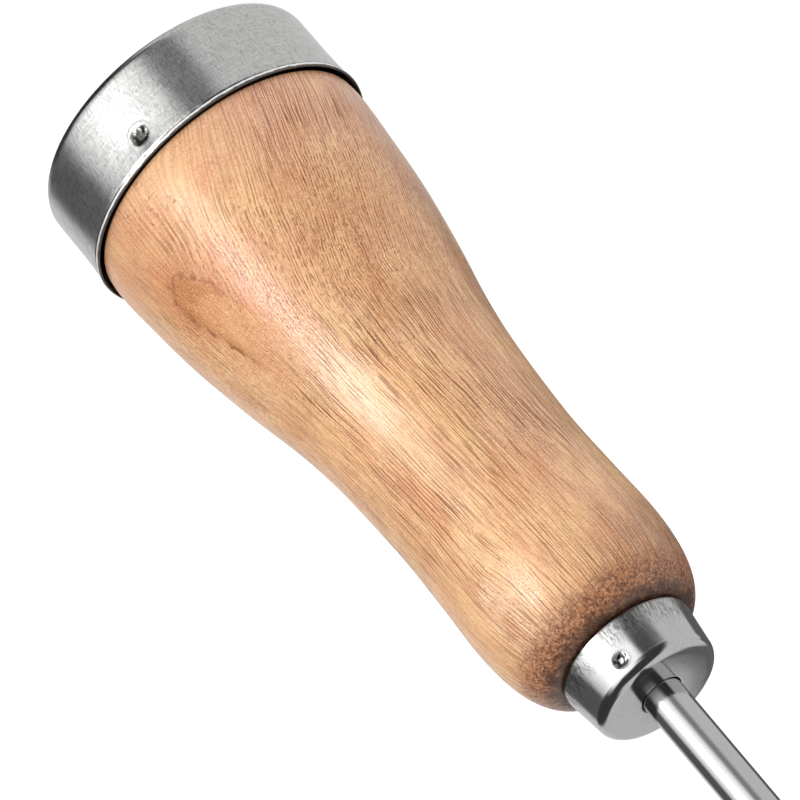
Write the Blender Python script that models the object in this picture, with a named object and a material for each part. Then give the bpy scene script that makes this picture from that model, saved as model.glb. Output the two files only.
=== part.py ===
"""Scratch awl: a steel blade through a turned wood handle, with a steel ferrule and striking cap.

The awl stands on its cap. The origin is the centre of the cap's flat butt face, and +Z runs up
the common axis to the point. Every piece is turned about that axis. Two punched stakes, on
opposite sides, press the cap into the wood, and two more hold the ferrule. Lengths are in metres.
"""
import math

import bmesh
import bpy
from mathutils import Matrix, Vector
from mathutils.geometry import interpolate_bezier

MM = 0.001

# Overall sizes
HANDLE_LENGTH = 95.25 * MM  # butt face to the ferrule's front face, 3 3/4 in
BLADE_REACH = 88.9 * MM  # ferrule's front face to the point, 3 1/2 in
BLADE_RADIUS = 2.5 * MM
GAP = 0.3 * MM  # left between neighbouring pieces
SHEET = 0.8 * MM  # steel of the cap and the ferrule

# Striking cap, a shallow drawn cup
CAP_LENGTH = 11.8 * MM
CAP_RADIUS = 17.7 * MM
CAP_LIP_RADIUS = 18.08 * MM
CAP_FLOOR = 1.0 * MM
CAP_CORNER = 1.4 * MM
CAP_INNER_CORNER = 0.8 * MM
CAP_FLARE_START = 7.0 * MM
CAP_LIP_DROP = 0.5 * MM  # the lip's outer edge lies this far behind the mouth
CAP_LIP_THICKNESS = 0.35 * MM
LIP_PULL = 0.6 * MM  # how early the flare turns up into the lip

# Ferrule, a small drawn cup with a hole for the blade
FERRULE_LENGTH = 6.8 * MM
FERRULE_BACK_RADIUS = 8.45 * MM
FERRULE_FRONT_RADIUS = 7.85 * MM
FERRULE_CORNER = 1.5 * MM
FERRULE_WALL = 0.9 * MM  # its front wall
FERRULE_EDGE = 0.15 * MM  # chamfer round its back edge

# Handle: its height and radius where it leaves the cap, along the waist, and at the belly
HANDLE_STATIONS = tuple((z * MM, r * MM) for z, r in (
    (11.8, 17.36), (14.5, 17.44), (19.0, 17.15), (27.0, 16.4), (35.0, 15.15),
    (43.0, 13.6), (51.0, 12.65), (61.5, 12.2), (70.0, 12.37), (76.5, 12.65)))
SHOULDER_RADIUS = 8.2 * MM  # where the wood meets the ferrule
SHOULDER_PULL = 12.0 * MM  # how far the belly's curve runs on before it turns in
NOSE_CHAMFER = 0.8 * MM
BORE_RADIUS = BLADE_RADIUS + GAP

# Blade
TAPER_START = 30.0 * MM  # above the ferrule, where the shank begins to narrow
POINT_LENGTH = 26.0 * MM
POINT_SHOULDER_RADIUS = 2.05 * MM
TIP_RADIUS = 0.15 * MM
TIP_SWELL = 0.75 * MM  # how full the point stays near its tip
TANG_CHAMFER = 0.5 * MM

# Wings swaged out of the tang, which stop it turning in the wood
WING_LOW = 72.0 * MM
WING_LENGTH = 9.0 * MM
WING_SPAN = 9.6 * MM
WING_THICKNESS = 2.0 * MM

# Punched stakes
PUNCH_RADIUS = 1.25 * MM
CAP_STAKE = {"height": 8.8 * MM, "surface": 17.75 * MM, "depth": 0.5 * MM, "turn": 13.8}
FERRULE_STAKE = {"height": 92.7 * MM, "surface": 7.95 * MM, "depth": 0.5 * MM, "turn": 7.7}

# Facets round the axis
HANDLE_FACETS = 48
SHELL_FACETS = 48
BLADE_FACETS = 32
CURVE_POINTS = 4  # in each stretch of the handle's curve
CORNER_POINTS = 5
SHARP_ANGLE = math.radians(35)

FERRULE_BACK = HANDLE_LENGTH - FERRULE_LENGTH


def clear_scene():
    for obj in list(bpy.data.objects):
        bpy.data.objects.remove(obj, do_unlink=True)


def make_material(name, colour, roughness, metallic):
    """Principled material with one colour."""
    material = bpy.data.materials.new(name)
    material.use_nodes = True
    shader = material.node_tree.nodes["Principled BSDF"]
    shader.inputs["Base Color"].default_value = (*colour, 1.0)
    shader.inputs["Roughness"].default_value = roughness
    shader.inputs["Metallic"].default_value = metallic
    return material


def arc(centre, radius, start, end, points=CORNER_POINTS):
    """Points (radius, height) on a circular arc; angles in degrees, 0 pointing away from the axis."""
    outline = []
    for i in range(points):
        angle = math.radians(start + (end - start) * i / (points - 1))
        outline.append((centre[0] + radius * math.cos(angle), centre[1] + radius * math.sin(angle)))
    return outline


def bezier(start, start_pull, end_pull, end, points):
    """Points (radius, height) on a cubic curve, both ends included."""
    knots = [Vector((*knot, 0.0)) for knot in (start, start_pull, end_pull, end)]
    return [(p.x, p.y) for p in interpolate_bezier(*knots, points)]


def lathe(name, outline, facets, material):
    """Spin an outline of (radius, height) points about Z; its ends are joined or lie on the axis."""
    mesh = bpy.data.meshes.new(name)
    bm = bmesh.new()
    verts = [bm.verts.new((radius, 0.0, height)) for radius, height in outline]
    for first, second in zip(verts, verts[1:]):
        bm.edges.new((first, second))
    on_axis = outline[0][0] == 0.0
    if not on_axis:
        bm.edges.new((verts[-1], verts[0]))
    bmesh.ops.spin(bm, geom=bm.verts[:] + bm.edges[:], axis=(0, 0, 1), cent=(0, 0, 0),
                   angle=math.tau, steps=facets, use_merge=True)
    bmesh.ops.remove_doubles(bm, verts=bm.verts[:], dist=1e-6)
    bmesh.ops.recalc_face_normals(bm, faces=bm.faces[:])
    bm.to_mesh(mesh)
    bm.free()
    mesh.shade_smooth()
    mesh.set_sharp_from_angle(angle=SHARP_ANGLE)
    mesh.materials.append(material)
    obj = bpy.data.objects.new(name, mesh)
    bpy.context.collection.objects.link(obj)
    return obj


def add_boolean(obj, tool, operation):
    """Cut or join a hidden tool object into obj with an exact Boolean."""
    tool.hide_render = True
    tool.display_type = "WIRE"
    modifier = obj.modifiers.new(tool.name, "BOOLEAN")
    modifier.operation = operation
    modifier.object = tool
    modifier.solver = "EXACT"


def ball(name, centre, radius, keep_beyond=None):
    """Sphere tool; keep_beyond gives the distance from the axis outside which it is cut away."""
    mesh = bpy.data.meshes.new(name)
    bm = bmesh.new()
    bmesh.ops.create_icosphere(bm, subdivisions=3, radius=radius, matrix=Matrix.Translation(centre))
    if keep_beyond is not None:
        outward = Vector((centre.x, centre.y, 0.0)).normalized()
        plane = outward * keep_beyond + Vector((0.0, 0.0, centre.z))
        cut = bmesh.ops.bisect_plane(bm, geom=bm.verts[:] + bm.edges[:] + bm.faces[:],
                                     plane_co=plane, plane_no=outward, clear_outer=True)
        rim = [edge for edge in cut["geom_cut"] if isinstance(edge, bmesh.types.BMEdge)]
        bmesh.ops.edgeloop_fill(bm, edges=rim)
    bmesh.ops.recalc_face_normals(bm, faces=bm.faces[:])
    bm.to_mesh(mesh)
    bm.free()
    obj = bpy.data.objects.new(name, mesh)
    bpy.context.collection.objects.link(obj)
    return obj


def block(name, size, centre):
    """Rectangular tool or feature."""
    mesh = bpy.data.meshes.new(name)
    bm = bmesh.new()
    placing = Matrix.Translation(centre) @ Matrix.Diagonal((*size, 1.0))
    bmesh.ops.create_cube(bm, size=1.0, matrix=placing)
    bm.to_mesh(mesh)
    bm.free()
    obj = bpy.data.objects.new(name, mesh)
    bpy.context.collection.objects.link(obj)
    return obj


def stake(shell, wood, spec):
    """Punch a shell into the wood on two opposite sides: a dimple, its inner bulge, and its seat."""
    for side in (0, 1):
        turn = math.radians(spec["turn"] + 180 * side - 90)
        reach = spec["surface"] + PUNCH_RADIUS - spec["depth"]
        centre = Vector((reach * math.cos(turn), reach * math.sin(turn), spec["height"]))
        label = f"{shell.name}_{side + 1}"
        bulge = ball(f"bulge_{label}", centre, PUNCH_RADIUS + SHEET, spec["surface"] - SHEET / 2)
        add_boolean(shell, bulge, "UNION")
        add_boolean(shell, ball(f"punch_{label}", centre, PUNCH_RADIUS), "DIFFERENCE")
        add_boolean(wood, ball(f"seat_{label}", centre, PUNCH_RADIUS + SHEET + GAP), "DIFFERENCE")


def handle_curve():
    """The turned outside of the wood, from the cap's mouth up to the ferrule."""
    heights = [height for height, _ in HANDLE_STATIONS]
    radii = [radius for _, radius in HANDLE_STATIONS]
    last = len(heights) - 1
    slopes = [0.0] * (last + 1)
    for i in range(1, last):
        slopes[i] = (radii[i + 1] - radii[i - 1]) / (heights[i + 1] - heights[i - 1])
    outline = []
    for i in range(last):
        third = (heights[i + 1] - heights[i]) / 3
        start = (radii[i], heights[i])
        end = (radii[i + 1], heights[i + 1])
        start_pull = (start[0] + slopes[i] * third, start[1] + third)
        end_pull = (end[0] - slopes[i + 1] * third, end[1] - third)
        outline += bezier(start, start_pull, end_pull, end, CURVE_POINTS)[:-1]
    belly = (radii[last], heights[last])
    rim = (SHOULDER_RADIUS, FERRULE_BACK - GAP)
    belly_pull = (belly[0], belly[1] + SHOULDER_PULL)
    outline += bezier(belly, belly_pull, rim, rim, 3 * CURVE_POINTS)
    return outline


def make_handle(material):
    """Turned wood, bored through, with a spigot for each steel cup."""
    butt = CAP_FLOOR + GAP
    spigot = CAP_RADIUS - SHEET - GAP
    nose = FERRULE_FRONT_RADIUS - SHEET - GAP
    nose_top = HANDLE_LENGTH - FERRULE_WALL - GAP
    outline = [(BORE_RADIUS, butt)]
    outline += arc((spigot - CAP_CORNER, butt + CAP_CORNER), CAP_CORNER, -90, 0, 4)
    outline.append((spigot, CAP_FLARE_START))
    outline += handle_curve()
    outline.append((nose, FERRULE_BACK - GAP))
    outline.append((nose, nose_top - NOSE_CHAMFER))
    outline.append((nose - NOSE_CHAMFER, nose_top))
    outline.append((BORE_RADIUS, nose_top))
    handle = lathe("handle", outline, HANDLE_FACETS, material)
    slot_low = WING_LOW - GAP
    size = (WING_SPAN + 2 * GAP, WING_THICKNESS + 2 * GAP, HANDLE_LENGTH - slot_low)
    slot = block("wing_slot", size, Vector((0.0, 0.0, slot_low + size[2] / 2)))
    add_boolean(handle, slot, "DIFFERENCE")
    return handle


def make_cap(material):
    """Drawn steel cup with a slightly flared mouth and a thin rounded lip."""
    lip_low = CAP_LENGTH - CAP_LIP_DROP
    flare_middle = (CAP_FLARE_START + lip_low) / 2
    lip_inside = CAP_LIP_RADIUS - CAP_LIP_THICKNESS
    inside = CAP_RADIUS - SHEET
    lip_foot = lip_low - LIP_PULL
    outline = [(0.0, 0.0)]
    outline += arc((CAP_RADIUS - CAP_CORNER, CAP_CORNER), CAP_CORNER, -90, 0)
    outline += bezier((CAP_RADIUS, CAP_FLARE_START), (CAP_RADIUS, flare_middle),
                      (CAP_LIP_RADIUS - LIP_PULL / 6, lip_foot), (CAP_LIP_RADIUS, lip_low), 5)
    outline += bezier((CAP_LIP_RADIUS, lip_low), (CAP_LIP_RADIUS, CAP_LENGTH),
                      (lip_inside, CAP_LENGTH), (lip_inside, CAP_LENGTH), 4)[1:]
    outline += bezier((lip_inside, CAP_LENGTH), (lip_inside - LIP_PULL / 3, lip_foot),
                      (inside, flare_middle), (inside, CAP_FLARE_START), 5)[1:]
    outline += arc((inside - CAP_INNER_CORNER, CAP_FLOOR + CAP_INNER_CORNER),
                   CAP_INNER_CORNER, 0, -90, 4)
    outline.append((0.0, CAP_FLOOR))
    return lathe("butt_cap", outline, SHELL_FACETS, material)


def make_ferrule(material):
    """Drawn steel cup, tapering to a rounded front corner and a flat face with the blade's hole."""
    inner_corner = FERRULE_CORNER - SHEET
    front_inside = HANDLE_LENGTH - FERRULE_WALL
    corner_height = HANDLE_LENGTH - FERRULE_CORNER
    outline = [(BORE_RADIUS, front_inside)]
    outline += arc((FERRULE_FRONT_RADIUS - SHEET - inner_corner, front_inside - inner_corner),
                   inner_corner, 90, 0, 4)
    outline.append((FERRULE_BACK_RADIUS - SHEET, FERRULE_BACK))
    outline.append((FERRULE_BACK_RADIUS - FERRULE_EDGE, FERRULE_BACK))
    outline.append((FERRULE_BACK_RADIUS, FERRULE_BACK + FERRULE_EDGE))
    outline += arc((FERRULE_FRONT_RADIUS - FERRULE_CORNER, corner_height), FERRULE_CORNER, 0, 90, 7)
    outline.append((BORE_RADIUS, HANDLE_LENGTH))
    return lathe("ferrule", outline, SHELL_FACETS, material)


def make_blade(material):
    """Round steel bar: tang, shank, ground point, and wings swaged out of the tang."""
    low = CAP_FLOOR + GAP
    tip = HANDLE_LENGTH + BLADE_REACH
    taper_start = HANDLE_LENGTH + TAPER_START
    point_start = tip - POINT_LENGTH
    third = (point_start - taper_start) / 3
    lean = (BLADE_RADIUS - POINT_SHOULDER_RADIUS) / 2  # keeps the two curves in line where they meet
    outline = [(0.0, low), (BLADE_RADIUS - TANG_CHAMFER, low), (BLADE_RADIUS, low + TANG_CHAMFER)]
    outline += bezier((BLADE_RADIUS, taper_start), (BLADE_RADIUS, taper_start + third),
                      (POINT_SHOULDER_RADIUS + lean, point_start - third),
                      (POINT_SHOULDER_RADIUS, point_start), 5)
    outline += bezier((POINT_SHOULDER_RADIUS, point_start),
                      (POINT_SHOULDER_RADIUS - lean, point_start + third),
                      (TIP_SWELL, tip - third / 2), (TIP_RADIUS, tip - TIP_RADIUS), 7)[1:]
    outline.append((0.0, tip))
    blade = lathe("blade", outline, BLADE_FACETS, material)
    size = (WING_SPAN, WING_THICKNESS, WING_LENGTH)
    wings = block("wings", size, Vector((0.0, 0.0, WING_LOW + WING_LENGTH / 2)))
    add_boolean(blade, wings, "UNION")
    return blade


def main():
    clear_scene()
    tool_steel = make_material("tool_steel", (0.56, 0.56, 0.57), 0.16, 1.0)
    cap_steel = make_material("cap_steel", (0.60, 0.60, 0.61), 0.30, 1.0)
    ferrule_steel = make_material("ferrule_steel", (0.62, 0.62, 0.62), 0.18, 1.0)
    wood = make_material("varnished_wood", (0.66, 0.38, 0.21), 0.42, 0.0)
    make_blade(tool_steel)
    handle = make_handle(wood)
    stake(make_cap(cap_steel), handle, CAP_STAKE)
    stake(make_ferrule(ferrule_steel), handle, FERRULE_STAKE)


main()
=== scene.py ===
"""Looks of the scratch awl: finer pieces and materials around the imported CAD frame.

The awl stands on its cap with its axis on Z. Angles round the axis are counted from -Y, the side
with the near pair of punched stakes, towards +X. Lengths are in metres.
"""
import math

import bmesh
import bpy
import numpy as np
from mathutils import Matrix, Vector


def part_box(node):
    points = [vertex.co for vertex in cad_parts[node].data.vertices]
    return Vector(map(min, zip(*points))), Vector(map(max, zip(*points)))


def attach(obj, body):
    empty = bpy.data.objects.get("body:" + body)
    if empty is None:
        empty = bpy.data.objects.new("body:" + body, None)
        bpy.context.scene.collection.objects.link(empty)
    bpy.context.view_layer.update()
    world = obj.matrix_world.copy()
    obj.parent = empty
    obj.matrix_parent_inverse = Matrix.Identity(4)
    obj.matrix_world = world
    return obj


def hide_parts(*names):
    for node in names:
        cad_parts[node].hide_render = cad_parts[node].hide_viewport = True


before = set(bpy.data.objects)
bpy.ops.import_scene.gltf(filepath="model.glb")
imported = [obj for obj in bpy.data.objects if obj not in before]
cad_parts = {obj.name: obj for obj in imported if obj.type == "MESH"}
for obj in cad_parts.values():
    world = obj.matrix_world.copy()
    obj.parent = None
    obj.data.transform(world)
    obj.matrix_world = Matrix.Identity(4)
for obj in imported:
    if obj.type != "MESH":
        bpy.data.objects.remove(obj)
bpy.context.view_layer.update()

MM = 0.001

# Camera: the photograph's viewing angle, from far away with a long lens
CAMERA_ELEVATION = math.radians(27.86)
CAMERA_ROLL = math.radians(139.84)
CAMERA_LENS = 900.0
CAMERA_DISTANCE = 2.198
CAMERA_AIM = (-28.79 * MM, 32.37 * MM)  # from the ferrule's face to the aim, right and up in view

# Sizes read from the frame
CAP_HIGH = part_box("butt_cap")[1]
FERRULE_LOW, FERRULE_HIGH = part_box("ferrule")
BLADE_LOW, BLADE_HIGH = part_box("blade")
HANDLE_LOW, HANDLE_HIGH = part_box("handle")
SHANK_RADIUS = BLADE_HIGH.y
SHEET = 0.8 * MM

# Punched stakes: height, surface radius, angle of the near one
CAP_STAKE = (8.8 * MM, CAP_HIGH.x - 0.33 * MM, math.radians(13.8))
FERRULE_STAKE = (92.7 * MM, FERRULE_HIGH.x - 0.5 * MM, math.radians(7.7))


# ---------------------------------------------------------------- mesh tools

def arc(centre, radius, start, end, points):
    """Points (radius, height) on an arc; angles in degrees, 0 pointing away from the axis."""
    turn = np.radians(np.linspace(start, end, points))
    return np.stack([centre[0] + radius * np.cos(turn), centre[1] + radius * np.sin(turn)], 1)


def bezier(start, start_pull, end_pull, end, points):
    """Points (radius, height) on a cubic curve."""
    t = np.linspace(0, 1, points)[:, None]
    a, b, c, d = (np.array(p) for p in (start, start_pull, end_pull, end))
    return (1 - t) ** 3 * a + 3 * (1 - t) ** 2 * t * b + 3 * (1 - t) * t ** 2 * c + t ** 3 * d


def smooth_line(points, step):
    """A natural cubic spline through the points, sampled about every step."""
    points = np.array(points)
    chord = np.concatenate([[0], np.cumsum(np.linalg.norm(np.diff(points, axis=0), axis=1))])
    count = len(points)
    gaps = np.diff(chord)
    matrix = np.zeros((count, count))
    right = np.zeros((count, 2))
    matrix[0, 0] = matrix[-1, -1] = 1.0
    for i in range(1, count - 1):
        matrix[i, i - 1:i + 2] = gaps[i - 1], 2 * (gaps[i - 1] + gaps[i]), gaps[i]
        right[i] = 6 * ((points[i + 1] - points[i]) / gaps[i] - (points[i] - points[i - 1]) / gaps[i - 1])
    bend = np.linalg.solve(matrix, right)
    s = np.linspace(0, chord[-1], int(chord[-1] / step) + 2)
    i = np.clip(np.searchsorted(chord, s, side="right") - 1, 0, count - 2)
    h, before, after = gaps[i][:, None], (s - chord[i])[:, None], (chord[i + 1] - s)[:, None]
    return (bend[i] * after ** 3 + bend[i + 1] * before ** 3) / (6 * h) + (
        points[i] / h - bend[i] * h / 6) * after + (points[i + 1] / h - bend[i + 1] * h / 6) * before


def refine(outline, step, fine_step=None, near=None, reach=0.0):
    """Split an outline's long stretches, and more finely within reach of the height near."""
    outline = np.array(outline)
    fine = [outline[:1]]
    for start, end in zip(outline, outline[1:]):
        middle = (start[1] + end[1]) / 2
        half = abs(start[1] - end[1]) / 2
        close = near is not None and abs(middle - near) < reach + half
        limit = fine_step if close else step
        parts = max(1, math.ceil(np.linalg.norm(end - start) / limit))
        fine.append(start + (end - start) * np.linspace(0, 1, parts + 1)[1:, None])
    return np.concatenate(fine)


def angles_round(coarse, fine=None, spots=(), reach=0.0):
    """Angles round the axis, closer together within reach of each spot."""
    found = [0.0]
    while found[-1] < math.tau:
        away = min((abs((found[-1] - spot + math.pi) % math.tau - math.pi) for spot in spots), default=9.9)
        ease = min(1.0, max(0.0, (away - reach) / reach)) if spots else 1.0
        found.append(found[-1] + (coarse if fine is None else fine + (coarse - fine) * ease))
    found = np.array(found[:-1])
    return found * math.tau / (found[-1] + (found[-1] - found[-2]))


def turned(name, outline, angles, relief=None, sharp=60):
    """A closed body turned about Z. relief(radius, height, angle) is added to the radius."""
    outline = np.array(outline)
    radius = np.repeat(outline[:, :1], len(angles), 1)
    height = np.repeat(outline[:, 1:], len(angles), 1)
    turn = np.repeat(angles[None], len(outline), 0)
    if relief is not None:
        radius = radius + relief(radius, height, turn)
    points = np.stack([radius * np.sin(turn), -radius * np.cos(turn), height], -1).reshape(-1, 3)
    rows, columns = len(outline), len(angles)
    on_axis = outline[0, 0] == 0.0
    row = np.arange(rows - 1 if on_axis else rows)[:, None]
    column = np.arange(columns)[None]
    above, beside = (row + 1) % rows, (column + 1) % columns
    quads = np.stack([row * columns + column, row * columns + beside,
                      above * columns + beside, above * columns + column], -1).reshape(-1, 4)
    mesh = bpy.data.meshes.new(name)
    mesh.from_pydata(points.tolist(), [], quads.tolist())
    bm = bmesh.new()
    bm.from_mesh(mesh)
    bmesh.ops.remove_doubles(bm, verts=bm.verts[:], dist=1e-7)
    bmesh.ops.recalc_face_normals(bm, faces=bm.faces[:])
    bm.to_mesh(mesh)
    bm.free()
    mesh.shade_smooth()
    mesh.set_sharp_from_angle(angle=math.radians(sharp))
    obj = bpy.data.objects.new(name, mesh)
    bpy.context.scene.collection.objects.link(obj)
    return obj


def finish_piece(obj, node, material):
    """Let a finer piece stand for a CAD node."""
    obj.data.materials.append(material)
    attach(obj, "root")
    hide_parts(node)


def smoothstep(low, high, value):
    """0 at low, 1 at high, with an easy start and end; low may be the greater."""
    t = np.clip((value - low) / (high - low), 0, 1)
    return t * t * (3 - 2 * t)


# ---------------------------------------------------------------- shader tools

class Shader:
    """Adds and joins the nodes of one material."""

    def __init__(self, name):
        self.material = bpy.data.materials.new(name)
        self.material.use_nodes = True
        self.tree = self.material.node_tree
        self.out = self.tree.nodes["Principled BSDF"]
        position = self.node("ShaderNodeTexCoord").outputs["Object"]
        self.mm = self.scaled(position, (1000, 1000, 1000))

    def node(self, kind, **settings):
        node = self.tree.nodes.new(kind)
        for key, value in settings.items():
            setattr(node, key, value)
        return node

    def put(self, socket, value):
        if isinstance(value, bpy.types.NodeSocket):
            self.tree.links.new(value, socket)
        else:
            socket.default_value = value

    def math(self, operation, *values, clamp=False):
        node = self.node("ShaderNodeMath", operation=operation, use_clamp=clamp)
        for socket, value in zip(node.inputs, values):
            self.put(socket, value)
        return node.outputs[0]

    def total(self, first, *others):
        for other in others:
            first = self.math("ADD", first, other)
        return first

    def product(self, first, *others):
        for other in others:
            first = self.math("MULTIPLY", first, other)
        return first

    def rest(self, value):
        """What is left of 1."""
        return self.math("SUBTRACT", 1.0, value)

    def hypotenuse(self, first, second):
        squares = self.total(self.product(first, first), self.product(second, second))
        return self.math("SQRT", squares)

    def spread(self, noise, amount):
        """A noise of 0 to 1, made amount wide with its middle at 0."""
        return self.product(self.math("SUBTRACT", noise, 0.5), amount)

    def tent(self, value, middle, half):
        """1 at the middle, falling straight to 0 at half the width on both sides."""
        away = self.math("DIVIDE", self.math("SUBTRACT", value, middle), half)
        return self.math("SUBTRACT", 1.0, self.math("ABSOLUTE", away), clamp=True)

    def vector(self, operation, *values):
        node = self.node("ShaderNodeVectorMath", operation=operation)
        for socket, value in zip(node.inputs, values):
            self.put(socket, value)
        return node.outputs[0]

    def scaled(self, vector, factors):
        return self.vector("MULTIPLY", vector, factors)

    def split(self, vector):
        node = self.node("ShaderNodeSeparateXYZ")
        self.put(node.inputs[0], vector)
        return node.outputs

    def join(self, *values):
        node = self.node("ShaderNodeCombineXYZ")
        for socket, value in zip(node.inputs, values):
            self.put(socket, value)
        return node.outputs[0]

    def noise(self, vector, scale, detail=2.0, roughness=0.5, distortion=0.0, colour=False):
        node = self.node("ShaderNodeTexNoise")
        self.put(node.inputs["Vector"], vector)
        self.put(node.inputs["Scale"], scale)
        self.put(node.inputs["Detail"], detail)
        self.put(node.inputs["Roughness"], roughness)
        self.put(node.inputs["Distortion"], distortion)
        return node.outputs["Color" if colour else "Fac"]

    def ramp(self, value, low, high, start=0.0, end=1.0):
        """start below low, end above high, and a smooth step between."""
        node = self.node("ShaderNodeMapRange", interpolation_type="SMOOTHSTEP")
        for socket, item in zip(node.inputs, (value, low, high, start, end)):
            self.put(socket, item)
        return node.outputs[0]

    def mix(self, factor, first, second, blend="MIX"):
        node = self.node("ShaderNodeMix", data_type="RGBA", blend_type=blend)
        self.put(node.inputs["Factor"], factor)
        colour_in = [s for s in node.inputs if s.type == "RGBA"]
        for socket, item in zip(colour_in, (first, second)):
            self.put(socket, item if isinstance(item, bpy.types.NodeSocket) else (*item, 1.0))
        return [s for s in node.outputs if s.type == "RGBA"][0]

    def bump(self, height, distance, strength=1.0, normal=None):
        node = self.node("ShaderNodeBump")
        self.put(node.inputs["Height"], height)
        self.put(node.inputs["Distance"], distance)
        self.put(node.inputs["Strength"], strength)
        if normal is not None:
            self.put(node.inputs["Normal"], normal)
        return node.outputs["Normal"]

    def set(self, **values):
        """Principled inputs, such as base_color=..., by their names in lower case."""
        for key, value in values.items():
            name = key.replace("_", " ").title().replace("Ior", "IOR")
            self.put(self.out.inputs[name], value)
        return self.material


# ---------------------------------------------------------------- wood
# Lengths in the materials are in millimetres, angles in degrees until they reach a node.

# Growth layers: they face this angle, lie in arcs about a pith behind, and bow along the handle
LAYER_ANGLE = 15
PITH_DISTANCE = 45
BOW_MIDDLE = 43
BOW = 0.0025

# Fibres: drawn on a cylinder of this radius, leaning where the handle tapers, most on one side
LANE_RADIUS = 14.5
LEAN, LEAN_TOP, LEAN_ANGLE = 0.27, 38, 20
UPPER_LEAN, UPPER_LEAN_START = -0.07, 48.0

# A small eye in the shoulder that the fibres pass round; its size is half its width and length
EYE_ANGLE, EYE_HEIGHT, EYE_SHIFT = 22, 79, 1.0
EYE_RADIUS, EYE_SIZE = 12.5, (3.6, 9.0)

# The cathedral-shaped tongue of figure beside the highlight
TONGUE_ANGLE, TONGUE_HEIGHT, TONGUE_RADIUS = 42, 28, 15.5
TONGUE_HALF_WIDTH, TONGUE_TOP = 2.65, 5.3
TONGUE_LEAN = 0.2

# Clouds of colour, a few of them painted highlight or painted shade: angle, height, half width, half length,
# lean, colour, amount
CLOUDS = (
    (47, 25.5, 3.8, 5.5, 0.1, (0.56, 0.200, 0.060), 0.90),
    (44, 18.5, 4.2, 4.2, 0.0, (0.68, 0.260, 0.110), 0.75),
    (35, 22.0, 1.7, 4.5, 0.3, (0.36, 0.165, 0.090), 0.65),
    (27, 31.0, 2.0, 7.0, 0.4, (0.62, 0.235, 0.140), 0.70),
    (-22, 31.0, 8.0, 12.0, 0.2, (0.55, 0.240, 0.105), 0.60),
    (44, 46.0, 3.0, 7.0, 0.0, (0.86, 0.540, 0.240), 0.40),
    (34, 20.0, 2.5, 4.0, 0.0, (0.56, 0.230, 0.110), 0.60),
    (18, 77.0, 2.2, 3.5, 0.0, (0.66, 0.350, 0.180), 0.50),
    (60, 14.5, 7.0, 6.0, 0.0, (0.50, 0.220, 0.120), 0.75),
    # Painted highlight on the shoulder
    (36, 80.5, 3.5, 5.0, 0.0, (0.86, 0.600, 0.410), 0.60),
    (-3, 53.0, 2.2, 13.0, 0.1, (0.84, 0.540, 0.250), 0.65),
    (32, 63.0, 2.2, 5.5, 0.1, (0.60, 0.240, 0.105), 0.70),
    (6, 71.0, 3.0, 3.5, 0.0, (0.66, 0.330, 0.150), 0.40),
    # Painted highlight in the highlight stripe
    (18, 47.0, 3.0, 10.0, 0.1, (0.86, 0.600, 0.410), 0.65),
    (-50, 14.0, 10.0, 10.0, 0.0, (0.64, 0.330, 0.250), 0.75),
    # Partly a dark stain, partly painted shade where light falls off on the shoulder
    (-70, 83.5, 11.0, 7.0, 0.0, (0.22, 0.095, 0.060), 0.90),
    # Painted shade along the handle's edge on the -X side
    (-84, 31.0, 5.0, 16.0, 0.0, (0.32, 0.150, 0.110), 0.75),
    (20, 29.0, 3.2, 12.0, 0.1, (0.56, 0.240, 0.130), 0.80),
    (40, 32.0, 3.0, 9.0, 0.1, (0.58, 0.250, 0.100), 0.45),
    (-45, 60.0, 5.0, 26.0, 0.0, (0.60, 0.310, 0.200), 0.50),
)


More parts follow.
